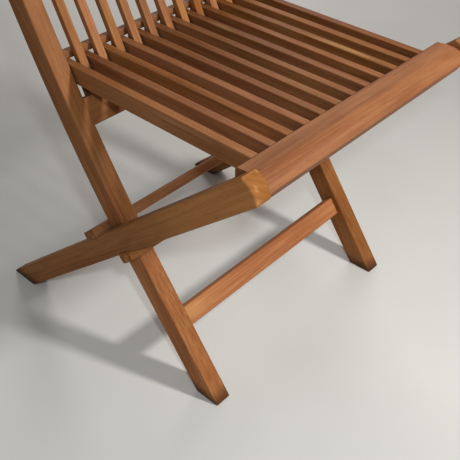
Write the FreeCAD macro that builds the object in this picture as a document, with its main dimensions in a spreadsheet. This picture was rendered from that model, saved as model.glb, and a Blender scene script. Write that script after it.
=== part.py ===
import FreeCAD, Part
import math
import os

import Sketcher

# Slatted folding chair. Side-plane sketches lie on YZ: +Y is the back, +Z is up.
# The origin is on the floor, under the middle of the chair's bounding box.

os.makedirs("parts", exist_ok=True)
V = FreeCAD.Vector
doc = FreeCAD.newDocument("folding_chair")
sheet = doc.addObject("Spreadsheet::Sheet", "Dims")

DIMENSIONS = {
    # stile: one board from the front foot to the top of the back, with one long bend
    "heel_y": -194.0, "stile_wide": 28.0, "stile_deep": 36.0, "stile_inner": 189.0,
    "foot_angle": 53.2, "back_angle": 63.5, "lower_run": 187.3, "upper_run": 411.1,
    "bend_radius": 2287.0,
    # rear leg: pivots on the stile, carries the front rail and the two stop bars
    "leg_angle": 41.4, "leg_deep": 37.0, "leg_wide": 26.0, "leg_inner": 218.0,
    "pivot_y": -49.81, "pivot_z": 225.11, "leg_reach": 337.8, "leg_end_radius": 29.6,
    "pivot_pin_radius": 4.0, "pivot_pin_depth": 18.0,
    # stop bars that lie in shallow housings across the rear legs
    "bar_wide": 27.0, "bar_thick": 15.0, "bar_half": 246.0, "bar_housing": 2.3,
    "upper_bar_start": 16.6, "lower_bar_start": 16.8,
    # front rail
    "rail_back_y": -261.5, "rail_top_z": 450.0, "rail_bottom_z": 416.5,
    "rail_nose_y": -312.5, "rail_low_y": -300.5, "rail_crown": 2.0,
    "ledge_angle": 50.0, "ledge_half": 188.0,
    # seat
    "seat_top_z": 446.0, "seat_slat_deep": 26.0, "slat_wide": 13.0, "slat_pitch": 33.0,
    "seat_front_y": -260.4, "seat_rear_y": 97.0, "batten_deep": 12.0, "batten_tall": 10.0,
    "batten_front_y": 82.2,
    # back
    "hinge_y": 64.5, "hinge_z": 433.0, "rod_radius": 3.0, "running_gap": 0.05,
    "back_slat_angle": 63.05, "back_slat_thick": 10.0, "lower_rail_drop": 21.0,
    "lower_rail_tall": 55.0, "lower_rail_deep": 17.4, "lower_rail_set": 3.7,
    "notch_deep": 15.0, "notch_wide": 15.0, "back_slat_long": 451.0, "top_rail_tall": 54.0, "top_rail_deep": 20.0, "top_rail_set": 3.6,
    # front stretcher, measured up the stile from the heel
    "stretcher_up": 113.0, "stretcher_in": 17.0, "stretcher_tall": 31.0, "stretcher_deep": 18.0,
    # joinery and edges
    "tenon_long": 14.0, "tenon_thick": 9.0, "slat_tenon_thick": 6.0, "slat_tenon_wide": 8.0,
    "slat_tenon_long": 9.0, "hole_depth": 12.0,
    "edge_round": 2.5, "slat_round": 1.2, "end_round": 5.0, "foot_spare": 40.0,
}
for row, (alias, size) in enumerate(DIMENSIONS.items(), start=1):
    sheet.set(f"A{row}", alias)
    sheet.set(f"B{row}", str(size))
    sheet.setAlias(f"B{row}", alias)
doc.recompute()

LEFT, RIGHT = -1, 1
SEAT_SLATS = 12
BACK_SLATS = SEAT_SLATS - 1


def number(expression):
    """Value of an expression over the dimension sheet."""
    return float(sheet.evalExpression(expression))


def ahead(start, angle, along, across="0"):
    """Point at a distance along a direction in the side plane, then across it, to its left."""
    y, z = start
    return (
        f"({y}) + ({along}) * cos({angle}) - ({across}) * sin({angle})",
        f"({z}) + ({along}) * sin({angle}) + ({across}) * cos({angle})",
    )


def oblong(centre, angle, length, depth):
    """Corners of a turned rectangle about its centre."""
    signs = ((-1, -1), (1, -1), (1, 1), (-1, 1))
    return [
        ahead(centre, angle, f"{a} * ({length}) / 2", f"{b} * ({depth}) / 2")
        for a, b in signs
    ]


def new_body(label, left_x):
    """Empty body whose local x = 0 stands at the given width position."""
    body = doc.addObject("PartDesign::Body", label)
    body.Label = label
    body.setExpression("Placement.Base.x", left_x)
    return body


def side_sketch(body, name, offset):
    """Sketch on the body's own side plane, moved along its normal."""
    sketch = body.newObject("Sketcher::SketchObject", name)
    plane = next(f for f in body.Origin.OriginFeatures if f.Role == "YZ_Plane")
    sketch.AttachmentSupport = [(plane, "")]
    sketch.MapMode = "FlatFace"
    sketch.setExpression("AttachmentOffset.Base.z", offset)
    return sketch


def fix_point(sketch, geometry, end, y, z):
    """Hold one point of a sketch at sheet-driven coordinates."""
    for kind, expression in (("DistanceX", y), ("DistanceY", z)):
        held = Sketcher.Constraint(kind, -1, 1, geometry, end, number(expression))
        sketch.setExpression(f"Constraints[{sketch.addConstraint(held)}]", expression)


def outline(body, name, corners, offset="0", arcs=None):
    """Closed outline through corners. arcs gives an edge's radius: positive turns left."""
    sketch = side_sketch(body, name, offset)
    arcs = arcs or {}
    points = [V(number(y), number(z), 0) for y, z in corners]
    starts = []
    for i, first in enumerate(points):
        last = points[(i + 1) % len(points)]
        if i not in arcs:
            sketch.addGeometry(Part.LineSegment(first, last))
            starts.append((1, 2))
            continue
        turn, radius = arcs[i]
        size = number(radius)
        chord = last - first
        rise = math.sqrt(size**2 - chord.Length**2 / 4)
        normal = V(-chord.y, chord.x, 0).normalize()
        centre = (first + last) * 0.5 + normal * (rise * turn)
        ends = (first, last) if turn > 0 else (last, first)
        angles = [math.atan2((p - centre).y, (p - centre).x) for p in ends]
        circle = Part.Circle(centre, V(0, 0, 1), size)
        sketch.addGeometry(Part.ArcOfCircle(circle, *angles))
        starts.append((1, 2) if turn > 0 else (2, 1))
    for i in range(len(points)):
        j = (i + 1) % len(points)
        sketch.addConstraint(Sketcher.Constraint("Coincident", i, starts[i][1], j, starts[j][0]))
    for i, (y, z) in enumerate(corners):
        fix_point(sketch, i, starts[i][0], y, z)
    for i, (_, radius) in arcs.items():
        held = sketch.addConstraint(Sketcher.Constraint("Radius", i, number(radius)))
        sketch.setExpression(f"Constraints[{held}]", radius)
    return sketch


def disc(body, name, centre, radius, offset="0"):
    """Circle in the side plane."""
    sketch = side_sketch(body, name, offset)
    y, z = centre
    circle = Part.Circle(V(number(y), number(z), 0), V(0, 0, 1), number(radius))
    sketch.addGeometry(circle)
    fix_point(sketch, 0, 3, y, z)
    held = sketch.addConstraint(Sketcher.Constraint("Radius", 0, number(radius)))
    sketch.setExpression(f"Constraints[{held}]", radius)
    return sketch


def pad(body, sketch, length):
    feature = body.newObject("PartDesign::Pad", f"{sketch.Name}_pad")
    feature.Profile = sketch
    feature.setExpression("Length", length)
    sketch.Visibility = False
    doc.recompute()
    return feature


def pocket(body, sketch, length, towards_right):
    """Cut from the sketch to the right or to the left, and make sure that wood was removed."""
    before = body.Shape.Volume
    feature = body.newObject("PartDesign::Pocket", f"{sketch.Name}_cut")
    feature.Profile = sketch
    feature.Reversed = towards_right
    feature.setExpression("Length", length)
    doc.recompute()
    if not body.Shape.Volume < before:
        raise RuntimeError(f"{feature.Name} removed nothing")
    return feature


def soften(body, feature, radius, wanted):
    """Round the edges that the test picks."""
    edges = [f"Edge{i}" for i, edge in enumerate(feature.Shape.Edges, 1) if wanted(edge)]
    rounding = body.newObject("PartDesign::Fillet", f"{body.Name}_rounding")
    rounding.Base = (feature, edges)
    rounding.setExpression("Radius", radius)
    doc.recompute()
    return rounding


def lies_in_side_plane(edge):
    return edge.BoundBox.XLength < 0.01


def above_floor(edge):
    """Edge of a side face, other than the one below the floor that is cut off later."""
    return lies_in_side_plane(edge) and edge.BoundBox.ZMax > 0


def runs_across(edge):
    return edge.BoundBox.XLength > 20.0


def is_floor_edge(edge):
    return edge.BoundBox.XLength > 15.0 and edge.BoundBox.ZMax < 0.1


def cut_sole(body, wide):
    """Cut the foot off flat at the floor."""
    below = oblong(("0", "0 - Dims.foot_spare"), "0", "1200", "2 * Dims.foot_spare")
    return pocket(body, outline(body, f"{body.Name}_sole", below), wide, True)


def ease_toe(body, sole):
    """Round the front edge of a sole."""
    front = min(e.BoundBox.YMax for e in sole.Shape.Edges if is_floor_edge(e))
    soften(body, sole, "Dims.slat_round",
           lambda edge: is_floor_edge(edge) and edge.BoundBox.YMax < front + 1)


def row_of(body, feature, count):
    """Repeat a cut along the width at the slat pitch."""
    pattern = body.newObject("PartDesign::LinearPattern", f"{feature.Name}_row")
    pattern.Originals = [feature]
    pattern.Direction = (feature.Profile[0], ["N_Axis"])
    pattern.setExpression("Length", f"{count - 1} * Dims.slat_pitch")
    pattern.Occurrences = count
    body.Tip = pattern
    doc.recompute()
    return pattern


PIVOT = ("Dims.pivot_y", "Dims.pivot_z")
HINGE = ("Dims.hinge_y", "Dims.hinge_z")
LEG = "(0 - Dims.leg_angle)"
HEEL = ("Dims.heel_y", "0")

# Stile outline: the rear edge runs heel, straight, bend, straight; the front edge is offset.
BEND_CENTRE = ahead(HEEL, "Dims.foot_angle", "Dims.lower_run", "Dims.bend_radius")


def on_bend(angle, inset):
    """Point on the bend where the stile points at an angle, inset from the rear edge."""
    return ahead(BEND_CENTRE, angle, "0", f"0 - Dims.bend_radius + ({inset})")


FRONT_RADIUS = "Dims.bend_radius - Dims.stile_deep"
STILE_CORNERS = [
    ahead(HEEL, "Dims.foot_angle", "0 - Dims.foot_spare"),
    on_bend("Dims.foot_angle", "0"),
    on_bend("Dims.back_angle", "0"),
    ahead(on_bend("Dims.back_angle", "0"), "Dims.back_angle", "Dims.upper_run"),
    ahead(on_bend("Dims.back_angle", "0"), "Dims.back_angle", "Dims.upper_run", "Dims.stile_deep"),
    on_bend("Dims.back_angle", "Dims.stile_deep"),
    on_bend("Dims.foot_angle", "Dims.stile_deep"),
    ahead(HEEL, "Dims.foot_angle", "0 - Dims.foot_spare", "Dims.stile_deep"),
]
STILE_ARCS = {1: (1, "Dims.bend_radius"), 5: (-1, FRONT_RADIUS)}

# Centres of the rails between the stiles.
STRETCHER = ahead(HEEL, "Dims.foot_angle", "Dims.stretcher_up", "Dims.stretcher_in")
LOWER_RAIL = ahead(
    HINGE, "Dims.back_slat_angle", "0 - Dims.lower_rail_drop - Dims.lower_rail_tall / 2",
    "0 - Dims.lower_rail_set",
)
TOP_RAIL = ahead(
    HINGE, "Dims.back_slat_angle",
    "Dims.back_slat_long - Dims.lower_rail_drop + Dims.top_rail_tall / 2",
    "0 - Dims.top_rail_set",
)
FRONT_RAIL_TENON = ("Dims.rail_back_y - 22", "(Dims.rail_top_z + Dims.rail_bottom_z) / 2 + 1")
CROSS_RAILS = {
    "front_stretcher": (STRETCHER, "Dims.foot_angle", "Dims.stretcher_tall", "Dims.stretcher_deep"),
    "lower_back_rail": (
        LOWER_RAIL, "Dims.back_slat_angle", "Dims.lower_rail_tall", "Dims.lower_rail_deep"),
    "top_rail": (TOP_RAIL, "Dims.back_slat_angle", "Dims.top_rail_tall", "Dims.top_rail_deep"),
}


def tenon_outline(body, name, centre, angle, tall, offset):
    """Tenon section: thinner and shorter than the rail it stands on."""
    corners = oblong(centre, angle, f"({tall}) * 0.62", "Dims.tenon_thick")
    return outline(body, name, corners, offset)


def make_stile(label, side):
    left_x = "0 - Dims.stile_inner - Dims.stile_wide" if side == LEFT else "Dims.stile_inner"
    inner = "Dims.stile_wide" if side == LEFT else "0"
    outer = "0" if side == LEFT else "Dims.stile_wide"
    cut_right = side == RIGHT
    body = new_body(label, left_x)
    board = pad(body, outline(body, f"{label}_side", STILE_CORNERS, arcs=STILE_ARCS), "Dims.stile_wide")
    board = soften(body, board, "Dims.end_round",
                   lambda edge: runs_across(edge) and edge.BoundBox.ZMin > 800)
    soften(body, board, "Dims.edge_round", above_floor)
    ease_toe(body, cut_sole(body, "Dims.stile_wide"))
    for rail, (centre, angle, tall, _) in CROSS_RAILS.items():
        mortise = tenon_outline(body, f"{label}_{rail}", centre, angle, tall, inner)
        pocket(body, mortise, "Dims.tenon_long", cut_right)
    rod_hole = disc(body, f"{label}_rod", HINGE, "Dims.rod_radius", inner)
    pocket(body, rod_hole, "Dims.hole_depth", cut_right)
    bore = disc(body, f"{label}_pivot", PIVOT, "Dims.pivot_pin_radius + Dims.running_gap", outer)
    pocket(body, bore, "Dims.pivot_pin_depth + 1", not cut_right)
    return body


# Rear leg outline, from the rounded front end along the top edge to the foot and back.
LEG_HALF = "Dims.leg_deep / 2"


def on_leg(along, across):
    """Point measured from the pivot towards the rear foot, and up square to the leg."""
    return ahead(PIVOT, LEG, along, across)


def to_floor(across):
    """Distance from the pivot to the floor along the leg."""
    return f"(Dims.pivot_z + ({across}) * cos(Dims.leg_angle)) / sin(Dims.leg_angle)"


BAR_HALF = "Dims.bar_wide / 2"
HOUSED = f"{LEG_HALF} - Dims.bar_housing"
LEG_CORNERS = [
    on_leg("0 - Dims.leg_reach", f"0 - {LEG_HALF}"),
    on_leg("0 - Dims.leg_reach", LEG_HALF),
    on_leg(f"{to_floor(LEG_HALF)} + Dims.foot_spare", LEG_HALF),
    on_leg(f"{to_floor(LEG_HALF)} + Dims.foot_spare", f"0 - {LEG_HALF}"),
]
HOUSINGS = {
    "upper": (f"Dims.upper_bar_start + {BAR_HALF}", f"{LEG_HALF}"),
    "lower": (f"0 - Dims.lower_bar_start - {BAR_HALF}", f"0 - {LEG_HALF}"),
}


def make_leg(label, side):
    left_x = "0 - Dims.leg_inner - Dims.leg_wide" if side == LEFT else "Dims.leg_inner"
    inner = "Dims.leg_wide" if side == LEFT else "0"
    cut_right = side == RIGHT
    body = new_body(label, left_x)
    arcs = {0: (-1, "Dims.leg_end_radius")}
    board = pad(body, outline(body, f"{label}_side", LEG_CORNERS, arcs=arcs), "Dims.leg_wide")
    board = soften(body, board, "Dims.edge_round",
                   lambda edge: runs_across(edge) and edge.BoundBox.YMax < -250)
    soften(body, board, "Dims.edge_round", above_floor)
    cut_sole(body, "Dims.leg_wide")
    for name, (along, across) in HOUSINGS.items():
        notch = oblong(on_leg(along, across), LEG, "Dims.bar_wide", "2 * Dims.bar_housing")
        pocket(body, outline(body, f"{label}_{name}", notch), "Dims.leg_wide", True)
    mortise = outline(
        body, f"{label}_mortise", oblong(FRONT_RAIL_TENON, "0", "26", "Dims.tenon_thick"), inner)
    pocket(body, mortise, "Dims.tenon_long", cut_right)
    hole = disc(body, f"{label}_pivot", PIVOT, "Dims.pivot_pin_radius", inner)
    pocket(body, hole, "Dims.pivot_pin_depth", cut_right)
    return body


def make_cross_rail(label, centre, angle, tall, deep, slotted):
    """Rail between the stiles, with a tenon at each end and optional slat mortises."""
    body = new_body(label, "0 - Dims.stile_inner")
    span = "2 * Dims.stile_inner"
    main = pad(body, outline(body, f"{label}_section", oblong(centre, angle, tall, deep)), span)
    soften(body, main, "Dims.edge_round", runs_across)
    tenon = tenon_outline(body, f"{label}_tenon", centre, angle, tall, "0 - Dims.tenon_long")
    pad(body, tenon, f"{span} + 2 * Dims.tenon_long")
    if slotted:
        first = f"Dims.stile_inner - {BACK_SLATS - 1} / 2 * Dims.slat_pitch - Dims.slat_tenon_wide / 2"
        corners = oblong(
            SLAT_CENTRE, "Dims.back_slat_angle",
            "Dims.back_slat_long + 2 * Dims.slat_tenon_long", "Dims.slat_tenon_thick")
        slots = outline(body, f"{label}_slots", corners, first)
        row_of(body, pocket(body, slots, "Dims.slat_tenon_wide", True), BACK_SLATS)
    return body


def notch_for_tails(body):
    """Notches in the lower rail's top edge that the seat slats' rear ends turn into."""
    centre = ahead(
        HINGE, "Dims.back_slat_angle", "0 - Dims.lower_rail_drop", "0 - Dims.lower_rail_set")
    gap = oblong(centre, "Dims.back_slat_angle", "2 * Dims.notch_deep", "2 * Dims.lower_rail_deep")
    first = "Dims.stile_inner - Dims.notch_wide / 2" \
            f" - {SEAT_SLATS - 1} / 2 * Dims.slat_pitch"
    cut = pocket(body, outline(body, f"{body.Label}_notches", gap, first), "Dims.notch_wide", True)
    row_of(body, cut, SEAT_SLATS)


SLAT_CENTRE = ahead(
    HINGE, "Dims.back_slat_angle", "Dims.back_slat_long / 2 - Dims.lower_rail_drop")


def make_back_slat(label, x_centre):
    body = new_body(label, f"{x_centre} - Dims.slat_wide / 2")
    strip = oblong(SLAT_CENTRE, "Dims.back_slat_angle", "Dims.back_slat_long", "Dims.back_slat_thick")
    main = pad(body, outline(body, f"{label}_side", strip), "Dims.slat_wide")
    soften(body, main, "Dims.slat_round", lambda edge: edge.Length > 100.0)
    tongue = oblong(
        SLAT_CENTRE, "Dims.back_slat_angle",
        "Dims.back_slat_long + 2 * Dims.slat_tenon_long", "Dims.slat_tenon_thick")
    inset = "(Dims.slat_wide - Dims.slat_tenon_wide) / 2"
    pad(body, outline(body, f"{label}_tenons", tongue, inset), "Dims.slat_tenon_wide")
    pocket(body, disc(body, f"{label}_bore", HINGE, "Dims.rod_radius"), "Dims.slat_wide", True)
    return body


SEAT_LOW = "Dims.seat_top_z - Dims.seat_slat_deep"
SEAT_SLAT_CORNERS = [
    ("Dims.seat_front_y + Dims.seat_slat_deep / tan(Dims.ledge_angle)", SEAT_LOW),
    ("Dims.seat_rear_y", SEAT_LOW),
    ("Dims.seat_rear_y", "Dims.seat_top_z"),
    ("Dims.seat_front_y", "Dims.seat_top_z"),
]


def make_seat_slat(label, x_centre):
    body = new_body(label, f"{x_centre} - Dims.slat_wide / 2")
    main = pad(body, outline(body, f"{label}_side", SEAT_SLAT_CORNERS), "Dims.slat_wide")
    soften(body, main, "Dims.slat_round", lambda edge: edge.Length > 100.0)
    bore = disc(body, f"{label}_bore", HINGE, "Dims.rod_radius + Dims.running_gap")
    pocket(body, bore, "Dims.slat_wide", True)
    return body


def make_batten():
    """Strip across the rear ends of the seat slats; it stops the seat against the back slats."""
    body = new_body("rear_batten", "0 - Dims.ledge_half")
    centre = (
        "Dims.batten_front_y + Dims.batten_deep / 2", "Dims.seat_top_z + Dims.batten_tall / 2")
    strip = outline(body, "batten_section", oblong(centre, "0", "Dims.batten_deep", "Dims.batten_tall"))
    main = pad(body, strip, "2 * Dims.ledge_half")
    soften(body, main, "Dims.slat_round",
           lambda edge: runs_across(edge) and edge.BoundBox.ZMin > number("Dims.seat_top_z") + 1)
    return body


def make_front_rail():
    """Rail between the rear legs' front ends, rounded at the nose, with a sloping slat ledge."""
    body = new_body("front_rail", "0 - Dims.leg_inner")
    top, low, back = "Dims.rail_top_z", "Dims.rail_bottom_z", "Dims.rail_back_y"
    corners = [
        (f"{back}", f"{low}"),
        (f"{back}", f"{top}"),
        (f"{back} - 27", f"{top} + Dims.rail_crown"),
        ("Dims.rail_nose_y", f"{top} - 12"),
        ("Dims.rail_low_y - 2", f"{low} + 4"),
        ("Dims.rail_low_y + 4", f"{low}"),
    ]
    arcs = {1: (1, "200"), 2: (1, "30"), 4: (1, "6")}
    main = pad(body, outline(body, "rail_section", corners, arcs=arcs), "2 * Dims.leg_inner")
    soften(body, main, "4", lambda edge: runs_across(edge)
           and abs(edge.BoundBox.YMax - number(back)) < 0.1 and edge.BoundBox.ZMin > number(low) + 5)
    shelf = [
        (f"{back} - 6", f"{low}"),
        (f"{back} + (Dims.seat_top_z - {low}) / tan(Dims.ledge_angle)", f"{low}"),
        (f"{back} + (Dims.seat_top_z - {low} - 5) / tan(Dims.ledge_angle)", f"{low} + 5"),
        (f"{back} + 5 / tan(Dims.ledge_angle)", "Dims.seat_top_z - 5"),
        (f"{back} - 6", "Dims.seat_top_z - 5"),
    ]
    inset = "Dims.leg_inner - Dims.ledge_half"
    pad(body, outline(body, "rail_ledge", shelf, inset), "2 * Dims.ledge_half")
    tenon = oblong(FRONT_RAIL_TENON, "0", "26", "Dims.tenon_thick")
    pad(body, outline(body, "rail_tenon", tenon, "0 - Dims.tenon_long"),
        "2 * Dims.leg_inner + 2 * Dims.tenon_long")
    return body


def make_stop_bar(label, start, across):
    body = new_body(label, "0 - Dims.bar_half")
    corners = [
        on_leg(start, across[0]), on_leg(f"({start}) + Dims.bar_wide", across[0]),
        on_leg(f"({start}) + Dims.bar_wide", across[1]), on_leg(start, across[1]),
    ]
    main = pad(body, outline(body, f"{label}_section", corners), "2 * Dims.bar_half")
    soften(body, main, "Dims.edge_round", runs_across)
    return body


def make_rod(label, left_x, length, radius, centre):
    """Steel rod lying across the chair."""
    rod = doc.addObject("Part::Cylinder", label)
    rod.Label = label
    rod.Placement = FreeCAD.Placement(V(0, 0, 0), FreeCAD.Rotation(V(0, 1, 0), 90))
    for name, expression in (
        ("Radius", radius), ("Height", length), ("Placement.Base.x", left_x),
        ("Placement.Base.y", centre[0]), ("Placement.Base.z", centre[1]),
    ):
        rod.setExpression(name, expression)
    return rod


def slat_x(index, count):
    return f"({index} - {count - 1} / 2) * Dims.slat_pitch"


parts = [
    make_stile("left_stile", LEFT),
    make_stile("right_stile", RIGHT),
    make_leg("left_rear_leg", LEFT),
    make_leg("right_rear_leg", RIGHT),
    make_front_rail(),
    make_batten(),
    make_stop_bar("upper_stop_bar", "Dims.upper_bar_start", (HOUSED, f"{HOUSED} + Dims.bar_thick")),
    make_stop_bar(
        "lower_stop_bar", "0 - Dims.lower_bar_start - Dims.bar_wide",
        (f"0 - ({HOUSED}) - Dims.bar_thick", f"0 - ({HOUSED})")),
]
for label, (centre, angle, tall, deep) in CROSS_RAILS.items():
    rail = make_cross_rail(label, centre, angle, tall, deep, label != "front_stretcher")
    if label == "lower_back_rail":
        notch_for_tails(rail)
    parts.append(rail)
for index in range(BACK_SLATS):
    parts.append(make_back_slat(f"back_slat_{index + 1:02d}", slat_x(index, BACK_SLATS)))
for index in range(SEAT_SLATS):
    parts.append(make_seat_slat(f"seat_slat_{index + 1:02d}", slat_x(index, SEAT_SLATS)))

ROD_HALF = "(Dims.stile_inner + Dims.hole_depth)"
parts.append(make_rod("hinge_rod", f"0 - {ROD_HALF}", f"2 * {ROD_HALF}", "Dims.rod_radius", HINGE))
PIN_SPAN = "(Dims.leg_inner - Dims.stile_inner - Dims.stile_wide + 2 * Dims.pivot_pin_depth)"
PIN_OUTER = "(Dims.leg_inner + Dims.pivot_pin_depth)"
parts.append(
    make_rod("left_pivot_pin", f"0 - {PIN_OUTER}", PIN_SPAN, "Dims.pivot_pin_radius", PIVOT))
parts.append(
    make_rod("right_pivot_pin", f"{PIN_OUTER} - {PIN_SPAN}", PIN_SPAN, "Dims.pivot_pin_radius", PIVOT))
doc.recompute()

for thing in doc.Objects:
    if any(word in thing.State for word in ("Invalid", "Error")):
        raise RuntimeError(f"{thing.Name}: {thing.State}")
for piece in parts:
    if piece.Shape.isNull() or not piece.Shape.isValid() or len(piece.Shape.Solids) != 1:
        raise RuntimeError(f"{piece.Label} is not one valid solid")
    piece.Shape.exportStep(f"parts/{piece.Label}.step")
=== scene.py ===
import math
import random

import bpy
from mathutils import Matrix, Vector

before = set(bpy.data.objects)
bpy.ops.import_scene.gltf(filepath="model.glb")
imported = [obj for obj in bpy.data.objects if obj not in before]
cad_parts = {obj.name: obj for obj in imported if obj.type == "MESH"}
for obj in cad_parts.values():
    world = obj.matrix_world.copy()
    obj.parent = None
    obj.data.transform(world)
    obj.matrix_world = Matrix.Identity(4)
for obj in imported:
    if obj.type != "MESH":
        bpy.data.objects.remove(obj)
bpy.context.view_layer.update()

random.seed(7)

# ---------------------------------------------------------------- camera
CAMERA_AT = Vector((-0.7390, -0.7128, 0.9286))
HEADING, PITCH, ROLL = (math.radians(a) for a in (48.93, 39.5, 1.41))
LENS_MM, SENSOR_MM = 58.96, 36.0
SHIFT = (-0.00385, -0.00215)
CLIP_NEAR, CLIP_FAR = 0.05, 50.0


def add_camera():
    """Camera that looks down at the seat from the front left corner."""
    forward = Vector((
        math.sin(HEADING) * math.cos(PITCH), math.cos(HEADING) * math.cos(PITCH), -math.sin(PITCH)))
    level = Vector((math.cos(HEADING), -math.sin(HEADING), 0.0))
    upright = level.cross(forward)
    right = level * math.cos(ROLL) + upright * math.sin(ROLL)
    up = upright * math.cos(ROLL) - level * math.sin(ROLL)
    data = bpy.data.cameras.new("camera")
    data.lens, data.sensor_width = LENS_MM, SENSOR_MM
    data.shift_x, data.shift_y = SHIFT
    data.clip_start, data.clip_end = CLIP_NEAR, CLIP_FAR
    camera = bpy.data.objects.new("camera", data)
    bpy.context.collection.objects.link(camera)
    camera.matrix_world = Matrix((
        (right.x, up.x, -forward.x, CAMERA_AT.x),
        (right.y, up.y, -forward.y, CAMERA_AT.y),
        (right.z, up.z, -forward.z, CAMERA_AT.z),
        (0.0, 0.0, 0.0, 1.0),
    ))
    bpy.context.scene.camera = camera


# ---------------------------------------------------------------- node helpers
class Graph:
    """Short calls for building one material's nodes."""

    def __init__(self, name):
        self.material = bpy.data.materials.new(name)
        self.material.use_nodes = True
        self.tree = self.material.node_tree
        self.tree.nodes.clear()
        self.output = self.tree.nodes.new("ShaderNodeOutputMaterial")
        self.shader = self.tree.nodes.new("ShaderNodeBsdfPrincipled")
        self.link(self.shader.outputs["BSDF"], self.output.inputs["Surface"])

    def link(self, source, target):
        self.tree.links.new(source, target)

    def feed(self, socket, value):
        """Link a socket, or set a plain value."""
        if isinstance(value, bpy.types.NodeSocket):
            self.link(value, socket)
        else:
            socket.default_value = value

    def node(self, kind, inputs=None, **settings):
        made = self.tree.nodes.new(kind)
        for name, value in settings.items():
            setattr(made, name, value)
        for name, value in (inputs or {}).items():
            self.feed(made.inputs[name], value)
        return made

    def rough_bump(self, rough, height, distance, strength, normal=None):
        """Finish the shader's roughness and its surface relief."""
        self.feed(self.shader.inputs["Roughness"], rough)
        self.feed(self.shader.inputs["Normal"], self.bumped(height, distance, strength, normal))

    def math(self, operation, first, second=0.0, third=0.0, clamp=False):
        made = self.node("ShaderNodeMath", operation=operation, use_clamp=clamp)
        for socket, value in zip(made.inputs, (first, second, third)):
            self.feed(socket, value)
        return made.outputs[0]

    def dot(self, first, second):
        made = self.node("ShaderNodeVectorMath", operation="DOT_PRODUCT")
        self.feed(made.inputs[0], first)
        self.feed(made.inputs[1], second)
        return made.outputs["Value"]

    def spread(self, value, low, high, to_low=0.0, to_high=1.0):
        """Map a range smoothly to another one, clamped."""
        made = self.node("ShaderNodeMapRange", interpolation_type="SMOOTHSTEP")
        for socket, item in zip(made.inputs, (value, low, high, to_low, to_high)):
            self.feed(socket, item)
        return made.outputs["Result"]

    def noise(self, vector, scale, detail=3.0, roughness=0.5):
        made = self.node("ShaderNodeTexNoise", {
            "Vector": vector, "Scale": scale, "Detail": detail, "Roughness": roughness})
        return made.outputs["Fac"]

    def mix(self, factor, first, second):
        made = self.node("ShaderNodeMix", data_type="RGBA", blend_type="MIX")
        self.feed(made.inputs[0], factor)
        self.feed(made.inputs[6], first)
        self.feed(made.inputs[7], second)
        return made.outputs[2]

    def bumped(self, height, distance, strength, normal=None):
        inputs = {"Height": height, "Distance": distance, "Strength": strength}
        if normal is not None:
            inputs["Normal"] = normal
        return self.node("ShaderNodeBump", inputs).outputs["Normal"]


def linear(red, green, blue):
    """Linear colour from 0-255 display values."""
    def one(value):
        value /= 255.0
        return value / 12.92 if value <= 0.04045 else ((value + 0.055) / 1.055) ** 2.4
    return (one(red), one(green), one(blue), 1.0)


# ---------------------------------------------------------------- teak
TEAK_PALE = linear(205, 147, 98)
TEAK_MID = linear(178, 115, 70)
TEAK_DARK = linear(146, 85, 46)
TEAK_STREAK = linear(98, 54, 28)
TEAK_YELLOW = linear(220, 172, 108)
TEAK_END = linear(152, 92, 50)
# dark for the real stain at the feet and for painted shade in creases
STAIN_AND_SHADE_DARK = linear(58, 36, 23)
# heights between which the painted shade and light by height runs
SHADE_LOW_HEIGHT, SHADE_HIGH_HEIGHT = 0.02, 0.50

# patterns drawn out along the grain: length scale, noise scale, detail, roughness
WANDER = (0.6, 3.2, 2.0, 0.5)
RING_WAVE = (0.12, 40.0, 2.0, 0.5)
BROAD = (0.16, 26.0, 3.0, 0.5)
FINE = (0.020, 420.0, 3.0, 0.6)
FIBRE = (0.018, 1900.0, 2.0, 0.6)
STREAK = (0.030, 90.0, 3.0, 0.5)
PORE = (0.05, 1500.0, 1.0, 0.5)
BLOTCH = (0.45, 24.0, 3.0, 0.5)
SAP = (0.10, 46.0, 2.0, 0.5)

# each board draws its own place in the pattern, ring slope and ring pitch in metres
SHIFT_RANGE = (-40.0, 40.0)
SLOPE_SIDE, SLOPE_DEEP = (-0.9, 0.9), (0.35, 1.0)
RING_PITCH = (0.0060, 0.0095)
WANDER_REACH, RING_WAVE_REACH = 0.030, 0.012
HUE, HUE_DRIFT = 0.501, 0.004
SATURATION, SATURATION_DRIFT = 1.02, 0.04

# strengths of the colours laid over the base
LATE_MIX, STREAK_MIX, PORE_MIX = 0.14, 0.24, 0.40
END_MIX, END_LATE_MIX = 0.80, 0.26
EDGE_HIGHLIGHT_MIX = 0.45

# painted edge highlight, painted crease shade, foot stain and surface, lengths in metres
HIGHLIGHT_RADIUS, EDGE_RADIUS, CREVICE_SHADE_REACH = 0.0016, 0.0009, 0.012
STAIN_WAVE = 0.014
BASE_ROUGH, FINE_ROUGH, PORE_ROUGH, END_ROUGH = 0.50, 0.20, 0.16, 0.14
TEAK_SPECULAR = 0.14
FIBRE_RELIEF, FINE_RELIEF, PORE_RELIEF, LATE_RELIEF = 0.4, 0.6, 0.7, 0.35
RELIEF_DEPTH, RELIEF_STRENGTH = 0.00035, 0.55


class Board:
    """Place on one board: along its grain and square to it."""

    def __init__(self, g, grain, across, rng):
        self.g = g
        self.grain = Vector(grain).normalized()
        across = Vector(across).normalized()
        place = g.node("ShaderNodeTexCoord").outputs
        self.at, self.normal = place["Object"], place["Normal"]
        self.along = g.dot(self.at, self.grain)
        self.side = g.dot(self.at, across)
        self.deep = g.dot(self.at, self.grain.cross(across))
        self.shift = [rng.uniform(*SHIFT_RANGE) for _ in range(3)]

    def noise(self, pattern):
        """Noise drawn out along the grain."""
        length_scale, scale, detail, roughness = pattern
        parts = (
            self.g.math("MULTIPLY_ADD", self.along, length_scale, self.shift[0]),
            self.g.math("ADD", self.side, self.shift[1]),
            self.g.math("ADD", self.deep, self.shift[2]))
        place = self.g.node("ShaderNodeCombineXYZ", dict(zip("XYZ", parts))).outputs[0]
        return self.g.noise(place, scale, detail, roughness)


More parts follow.
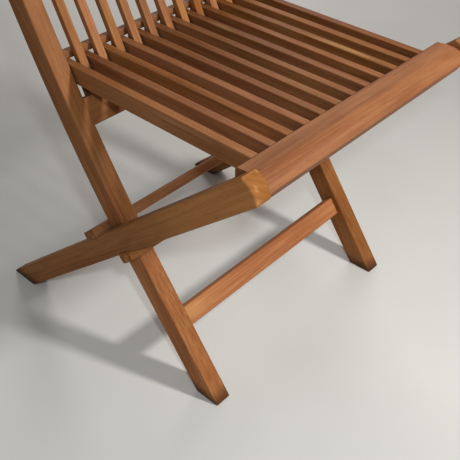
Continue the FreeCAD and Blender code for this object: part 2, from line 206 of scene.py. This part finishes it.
def late_wood(g, board, rng):
    """Dark side of the growth rings, bent gently along the board."""
    slope = (rng.uniform(*SLOPE_SIDE), rng.uniform(*SLOPE_DEEP))
    place = g.math("MULTIPLY_ADD", board.side, slope[0], g.math("MULTIPLY", board.deep, slope[1]))
    place = g.math("MULTIPLY_ADD", board.noise(WANDER), WANDER_REACH, place)
    place = g.math("MULTIPLY_ADD", board.noise(RING_WAVE), RING_WAVE_REACH, place)
    ring = g.math("FRACT", g.math("MULTIPLY", place, 1.0 / rng.uniform(*RING_PITCH)))
    return g.math("MULTIPLY", g.spread(ring, 0.35, 0.93), g.spread(ring, 1.0, 0.95))


def face_colour(g, board, late, fine, pore, yellow):
    """Colour of the long faces."""
    streak = g.spread(board.noise(STREAK), 0.54, 0.74)
    sap = g.spread(board.noise(SAP), 0.60, 0.74)
    colour = g.mix(g.spread(board.noise(BROAD), 0.30, 0.70), TEAK_DARK, TEAK_MID)
    for factor, over in (
            (g.spread(fine, 0.32, 0.78, 0.0, 0.42), TEAK_PALE),
            (g.math("MULTIPLY", late, LATE_MIX), TEAK_STREAK),
            (g.math("MULTIPLY", streak, STREAK_MIX), TEAK_STREAK),
            (g.spread(board.noise(BLOTCH), 0.48, 0.72, 0.0, 0.38), TEAK_DARK),
            (g.math("MULTIPLY", sap, yellow), TEAK_YELLOW),
            (g.math("MULTIPLY", pore, PORE_MIX), TEAK_STREAK)):
        colour = g.mix(factor, colour, over)
    return colour


def end_colour(g, board, late):
    """Colour of sawn ends, with rings, pore dots and pale bruises."""
    dots = g.node("ShaderNodeTexVoronoi", {"Vector": board.at, "Scale": 1150.0}).outputs["Distance"]
    bruise = g.spread(g.noise(board.at, 85.0), 0.50, 0.66, 0.0, 0.65)
    colour = g.mix(bruise, TEAK_END, TEAK_PALE)
    colour = g.mix(g.math("MULTIPLY", late, END_LATE_MIX), colour, TEAK_STREAK)
    return g.mix(g.spread(dots, 0.30, 0.12, 0.0, 0.6), colour, TEAK_STREAK)


def highlight_shade_and_stain(g, board, height, colour):
    """Painted highlight makes edges paler, painted shade darkens creases, and the feet are stained by
    the floor.
    """
    # painted highlight: rounded edges are made paler, as if catching light
    edge_normal = g.node("ShaderNodeBevel", {"Radius": HIGHLIGHT_RADIUS}, samples=4).outputs["Normal"]
    true_normal = g.node("ShaderNodeNewGeometry").outputs["Normal"]
    edge_highlight = g.spread(g.dot(edge_normal, true_normal), 0.985, 0.90)
    patchy = g.math("MULTIPLY", g.spread(g.noise(board.at, 55.0), 0.35, 0.75), EDGE_HIGHLIGHT_MIX)
    colour = g.mix(g.math("MULTIPLY", edge_highlight, patchy), colour, TEAK_PALE)
    # painted shade: creases and corners darken where ambient occlusion finds them closed in
    open_sky = g.node("ShaderNodeAmbientOcclusion", {"Distance": CREVICE_SHADE_REACH}, samples=6)
    crevice_shade = g.spread(open_sky.outputs["AO"], 0.75, 0.30, 0.0, 0.5)
    colour = g.mix(crevice_shade, colour, STAIN_AND_SHADE_DARK)
    uneven = g.math("MULTIPLY_ADD", g.noise(board.at, 60.0), STAIN_WAVE, height)
    return g.mix(g.spread(uneven, 0.032, 0.008, 0.0, 0.80), colour, STAIN_AND_SHADE_DARK)


def teak(name, grain, across, shade_tones, yellow, seed):
    """Oiled teak for one board: grain along one direction, painted shade tones that brighten or
    darken it near the floor and above in place of light and shade.
    """
    g = Graph(name)
    rng = random.Random(seed)
    board = Board(g, grain, across, rng)
    late = late_wood(g, board, rng)
    fine = board.noise(FINE)
    pore = g.spread(board.noise(PORE), 0.66, 0.74)
    height = g.node("ShaderNodeSeparateXYZ", {"Vector": board.at}).outputs["Z"]

    facing = g.math("ABSOLUTE", g.dot(board.normal, board.grain))
    end = g.spread(facing, 0.62, 0.86)
    colour = face_colour(g, board, late, fine, pore, yellow)
    colour = g.mix(g.math("MULTIPLY", end, END_MIX), colour, end_colour(g, board, late))
    colour = highlight_shade_and_stain(g, board, height, colour)
    # Value paints in light and shade: each board is brightened or darkened, and shaded by height, to
    # stand in for how the lamps fall
    toned = g.node("ShaderNodeHueSaturation", {
        "Hue": HUE + rng.uniform(-HUE_DRIFT, HUE_DRIFT),
        "Saturation": SATURATION + rng.uniform(-SATURATION_DRIFT, SATURATION_DRIFT),
        "Value": g.spread(height, SHADE_LOW_HEIGHT, SHADE_HIGH_HEIGHT, *shade_tones),
        "Color": colour}).outputs["Color"]
    g.feed(g.shader.inputs["Base Color"], toned)
    g.shader.inputs["Specular IOR Level"].default_value = TEAK_SPECULAR

    rough = g.math("MULTIPLY_ADD", fine, FINE_ROUGH, BASE_ROUGH)
    rough = g.math("MULTIPLY_ADD", pore, PORE_ROUGH, rough)
    rough = g.math("MULTIPLY_ADD", end, END_ROUGH, rough, clamp=True)
    relief = g.math(
        "MULTIPLY_ADD", board.noise(FIBRE), FIBRE_RELIEF, g.math("MULTIPLY", fine, FINE_RELIEF))
    relief = g.math("SUBTRACT", relief, g.math("MULTIPLY", pore, PORE_RELIEF))
    relief = g.math("MULTIPLY_ADD", late, LATE_RELIEF, relief)
    rounded = g.node("ShaderNodeBevel", {"Radius": EDGE_RADIUS}, samples=4).outputs["Normal"]
    g.rough_bump(rough, relief, RELIEF_DEPTH, RELIEF_STRENGTH, rounded)
    return g.material


# ---------------------------------------------------------------- steel
STEEL_DARK, STEEL_PALE = linear(150, 148, 142), linear(188, 187, 182)
STEEL_LINE = linear(98, 92, 84)
DRAWN_SCALE = (0.05, 1.0, 1.0)


def steel(name):
    """Drawn steel rod with turning marks and a dull zinc tone."""
    g = Graph(name)
    at = g.node("ShaderNodeTexCoord").outputs["Object"]
    drawn = g.node("ShaderNodeMapping", {"Vector": at, "Scale": DRAWN_SCALE}).outputs[0]
    lines = g.noise(drawn, 2600.0, 2.0, 0.6)
    blotch = g.noise(at, 180.0, 4.0, 0.6)
    colour = g.mix(g.spread(blotch, 0.35, 0.7), STEEL_DARK, STEEL_PALE)
    colour = g.mix(g.spread(lines, 0.55, 0.8, 0.0, 0.4), colour, STEEL_LINE)
    g.feed(g.shader.inputs["Base Color"], colour)
    g.shader.inputs["Metallic"].default_value = 1.0
    g.rough_bump(g.math("MULTIPLY_ADD", blotch, 0.25, 0.24), lines, 0.0001, 0.3)
    return g.material


# ---------------------------------------------------------------- boards
X_AXIS = (1.0, 0.0, 0.0)


def side_direction(degrees):
    """Direction in the chair's side plane, measured up from +Y."""
    angle = math.radians(degrees)
    return (0.0, math.cos(angle), math.sin(angle))


SLAT_TONE_SPREAD = 0.10
SLAT_YELLOWS = (0.1, 0.2, 0.65)
FIRST_SEED = 100

# start of the piece's name: grain, cross direction, painted shade tones (brightness at the floor and
# above, standing in for light and shade), yellow sapwood
# (a slat draws its share of sapwood from the three)
BOARDS = (
    ("left_stile", side_direction(59.5), X_AXIS, (1.00, 0.66), 0.10),
    ("right_stile", side_direction(59.5), X_AXIS, (0.70, 0.66), 0.12),
    ("left_rear_leg", side_direction(-41.4), X_AXIS, (0.66, 0.84), 0.05),
    ("right_rear_leg", side_direction(-41.4), X_AXIS, (0.70, 0.80), 0.05),
    ("front_rail", X_AXIS, side_direction(20.0), (0.64, 0.64), 0.10),
    ("rear_batten", X_AXIS, side_direction(0.0), (0.66, 0.66), 0.10),
    ("upper_stop_bar", X_AXIS, side_direction(-41.4), (0.74, 0.74), 0.10),
    ("lower_stop_bar", X_AXIS, side_direction(-41.4), (0.80, 0.80), 0.10),
    ("front_stretcher", X_AXIS, side_direction(53.2), (1.08, 1.08), 0.30),
    ("lower_back_rail", X_AXIS, side_direction(63.0), (0.62, 0.62), 0.10),
    ("top_rail", X_AXIS, side_direction(63.0), (0.80, 0.80), 0.15),
    ("back_slat", side_direction(63.05), X_AXIS, (0.86, 0.86), SLAT_YELLOWS),
    ("seat_slat", side_direction(0.0), X_AXIS, (0.58, 0.58), SLAT_YELLOWS),
)


def board_of(node_name):
    return next((row for row in BOARDS if node_name.startswith(row[0])), None)


def dress():
    """Give every wooden CAD node its own teak material, and the steel nodes one shared steel
    material.
    """
    metal = steel("steel_drawn")
    for count, name in enumerate(sorted(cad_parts)):
        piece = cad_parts[name]
        row = board_of(name)
        if row is None:
            made = metal
        else:
            _, grain, across, shade_tones, yellow = row
            if "slat" in name:
                lift = random.uniform(-SLAT_TONE_SPREAD, SLAT_TONE_SPREAD)
                shade_tones = [tone + lift for tone in shade_tones]
                yellow = random.choice(yellow)
            made = teak(f"teak_{name}", grain, across, shade_tones, yellow, FIRST_SEED + count)
        if not piece.data.materials:
            piece.data.materials.append(made)
        for slot in piece.material_slots:
            slot.material = made


# ---------------------------------------------------------------- floor and light
FLOOR_HALF = 6.0
FLOOR_DARK, FLOOR_PALE = linear(206, 204, 200), linear(213, 211, 207)
FLOOR_SPECK = linear(150, 146, 140)
FLOOR_SPECULAR = 0.3
AMBIENT, AMBIENT_STRENGTH = (1.0, 0.95, 0.90, 1.0), 0.19

SEAT = (0.0, -0.05, 0.30)
# name, place, target, diameter, watts, colour
LIGHTS = (
    ("key", (0.275, -0.985, 1.10), SEAT, 0.16, 13.2, (1.0, 0.985, 0.95)),
    ("flash", (-0.75, -0.82, 1.13), SEAT, 0.06, 6.0, (0.84, 0.95, 1.0)),
    ("window", (1.9, 1.7, 1.7), (1.0, 0.9, 0.0), 1.2, 24.0, (1.0, 0.99, 0.97)),
)


def add_floor():
    mesh = bpy.data.meshes.new("floor")
    corners = [(x * FLOOR_HALF, y * FLOOR_HALF, 0.0) for x, y in ((-1, -1), (1, -1), (1, 1), (-1, 1))]
    mesh.from_pydata(corners, [], [(0, 1, 2, 3)])
    floor = bpy.data.objects.new("floor", mesh)
    bpy.context.collection.objects.link(floor)
    g = Graph("floor_paint")
    at = g.node("ShaderNodeTexCoord").outputs["Object"]
    cloud = g.noise(at, 2.2, 4.0)
    speck = g.spread(g.noise(at, 190.0, 2.0), 0.72, 0.80, 0.0, 0.12)
    colour = g.mix(g.spread(cloud, 0.3, 0.7), FLOOR_DARK, FLOOR_PALE)
    colour = g.mix(speck, colour, FLOOR_SPECK)
    g.feed(g.shader.inputs["Base Color"], colour)
    g.feed(g.shader.inputs["Roughness"], g.math("MULTIPLY_ADD", cloud, 0.15, 0.62))
    g.shader.inputs["Specular IOR Level"].default_value = FLOOR_SPECULAR
    floor.data.materials.append(g.material)


def add_lights():
    for name, at, target, size, power, colour in LIGHTS:
        data = bpy.data.lights.new(name, "AREA")
        data.shape, data.size, data.energy, data.color = "DISK", size, power, colour
        lamp = bpy.data.objects.new(name, data)
        bpy.context.collection.objects.link(lamp)
        lamp.location = at
        lamp.rotation_euler = (Vector(target) - Vector(at)).to_track_quat("-Z", "Y").to_euler()


def add_ambient():
    world = bpy.data.worlds.new("studio")
    bpy.context.scene.world = world
    world.use_nodes = True
    background = world.node_tree.nodes["Background"]
    background.inputs["Color"].default_value = AMBIENT
    background.inputs["Strength"].default_value = AMBIENT_STRENGTH


add_camera()
dress()
add_floor()
add_ambient()
add_lights()
scene = bpy.context.scene
scene.view_settings.view_transform = "Standard"
scene.view_settings.look = "None"
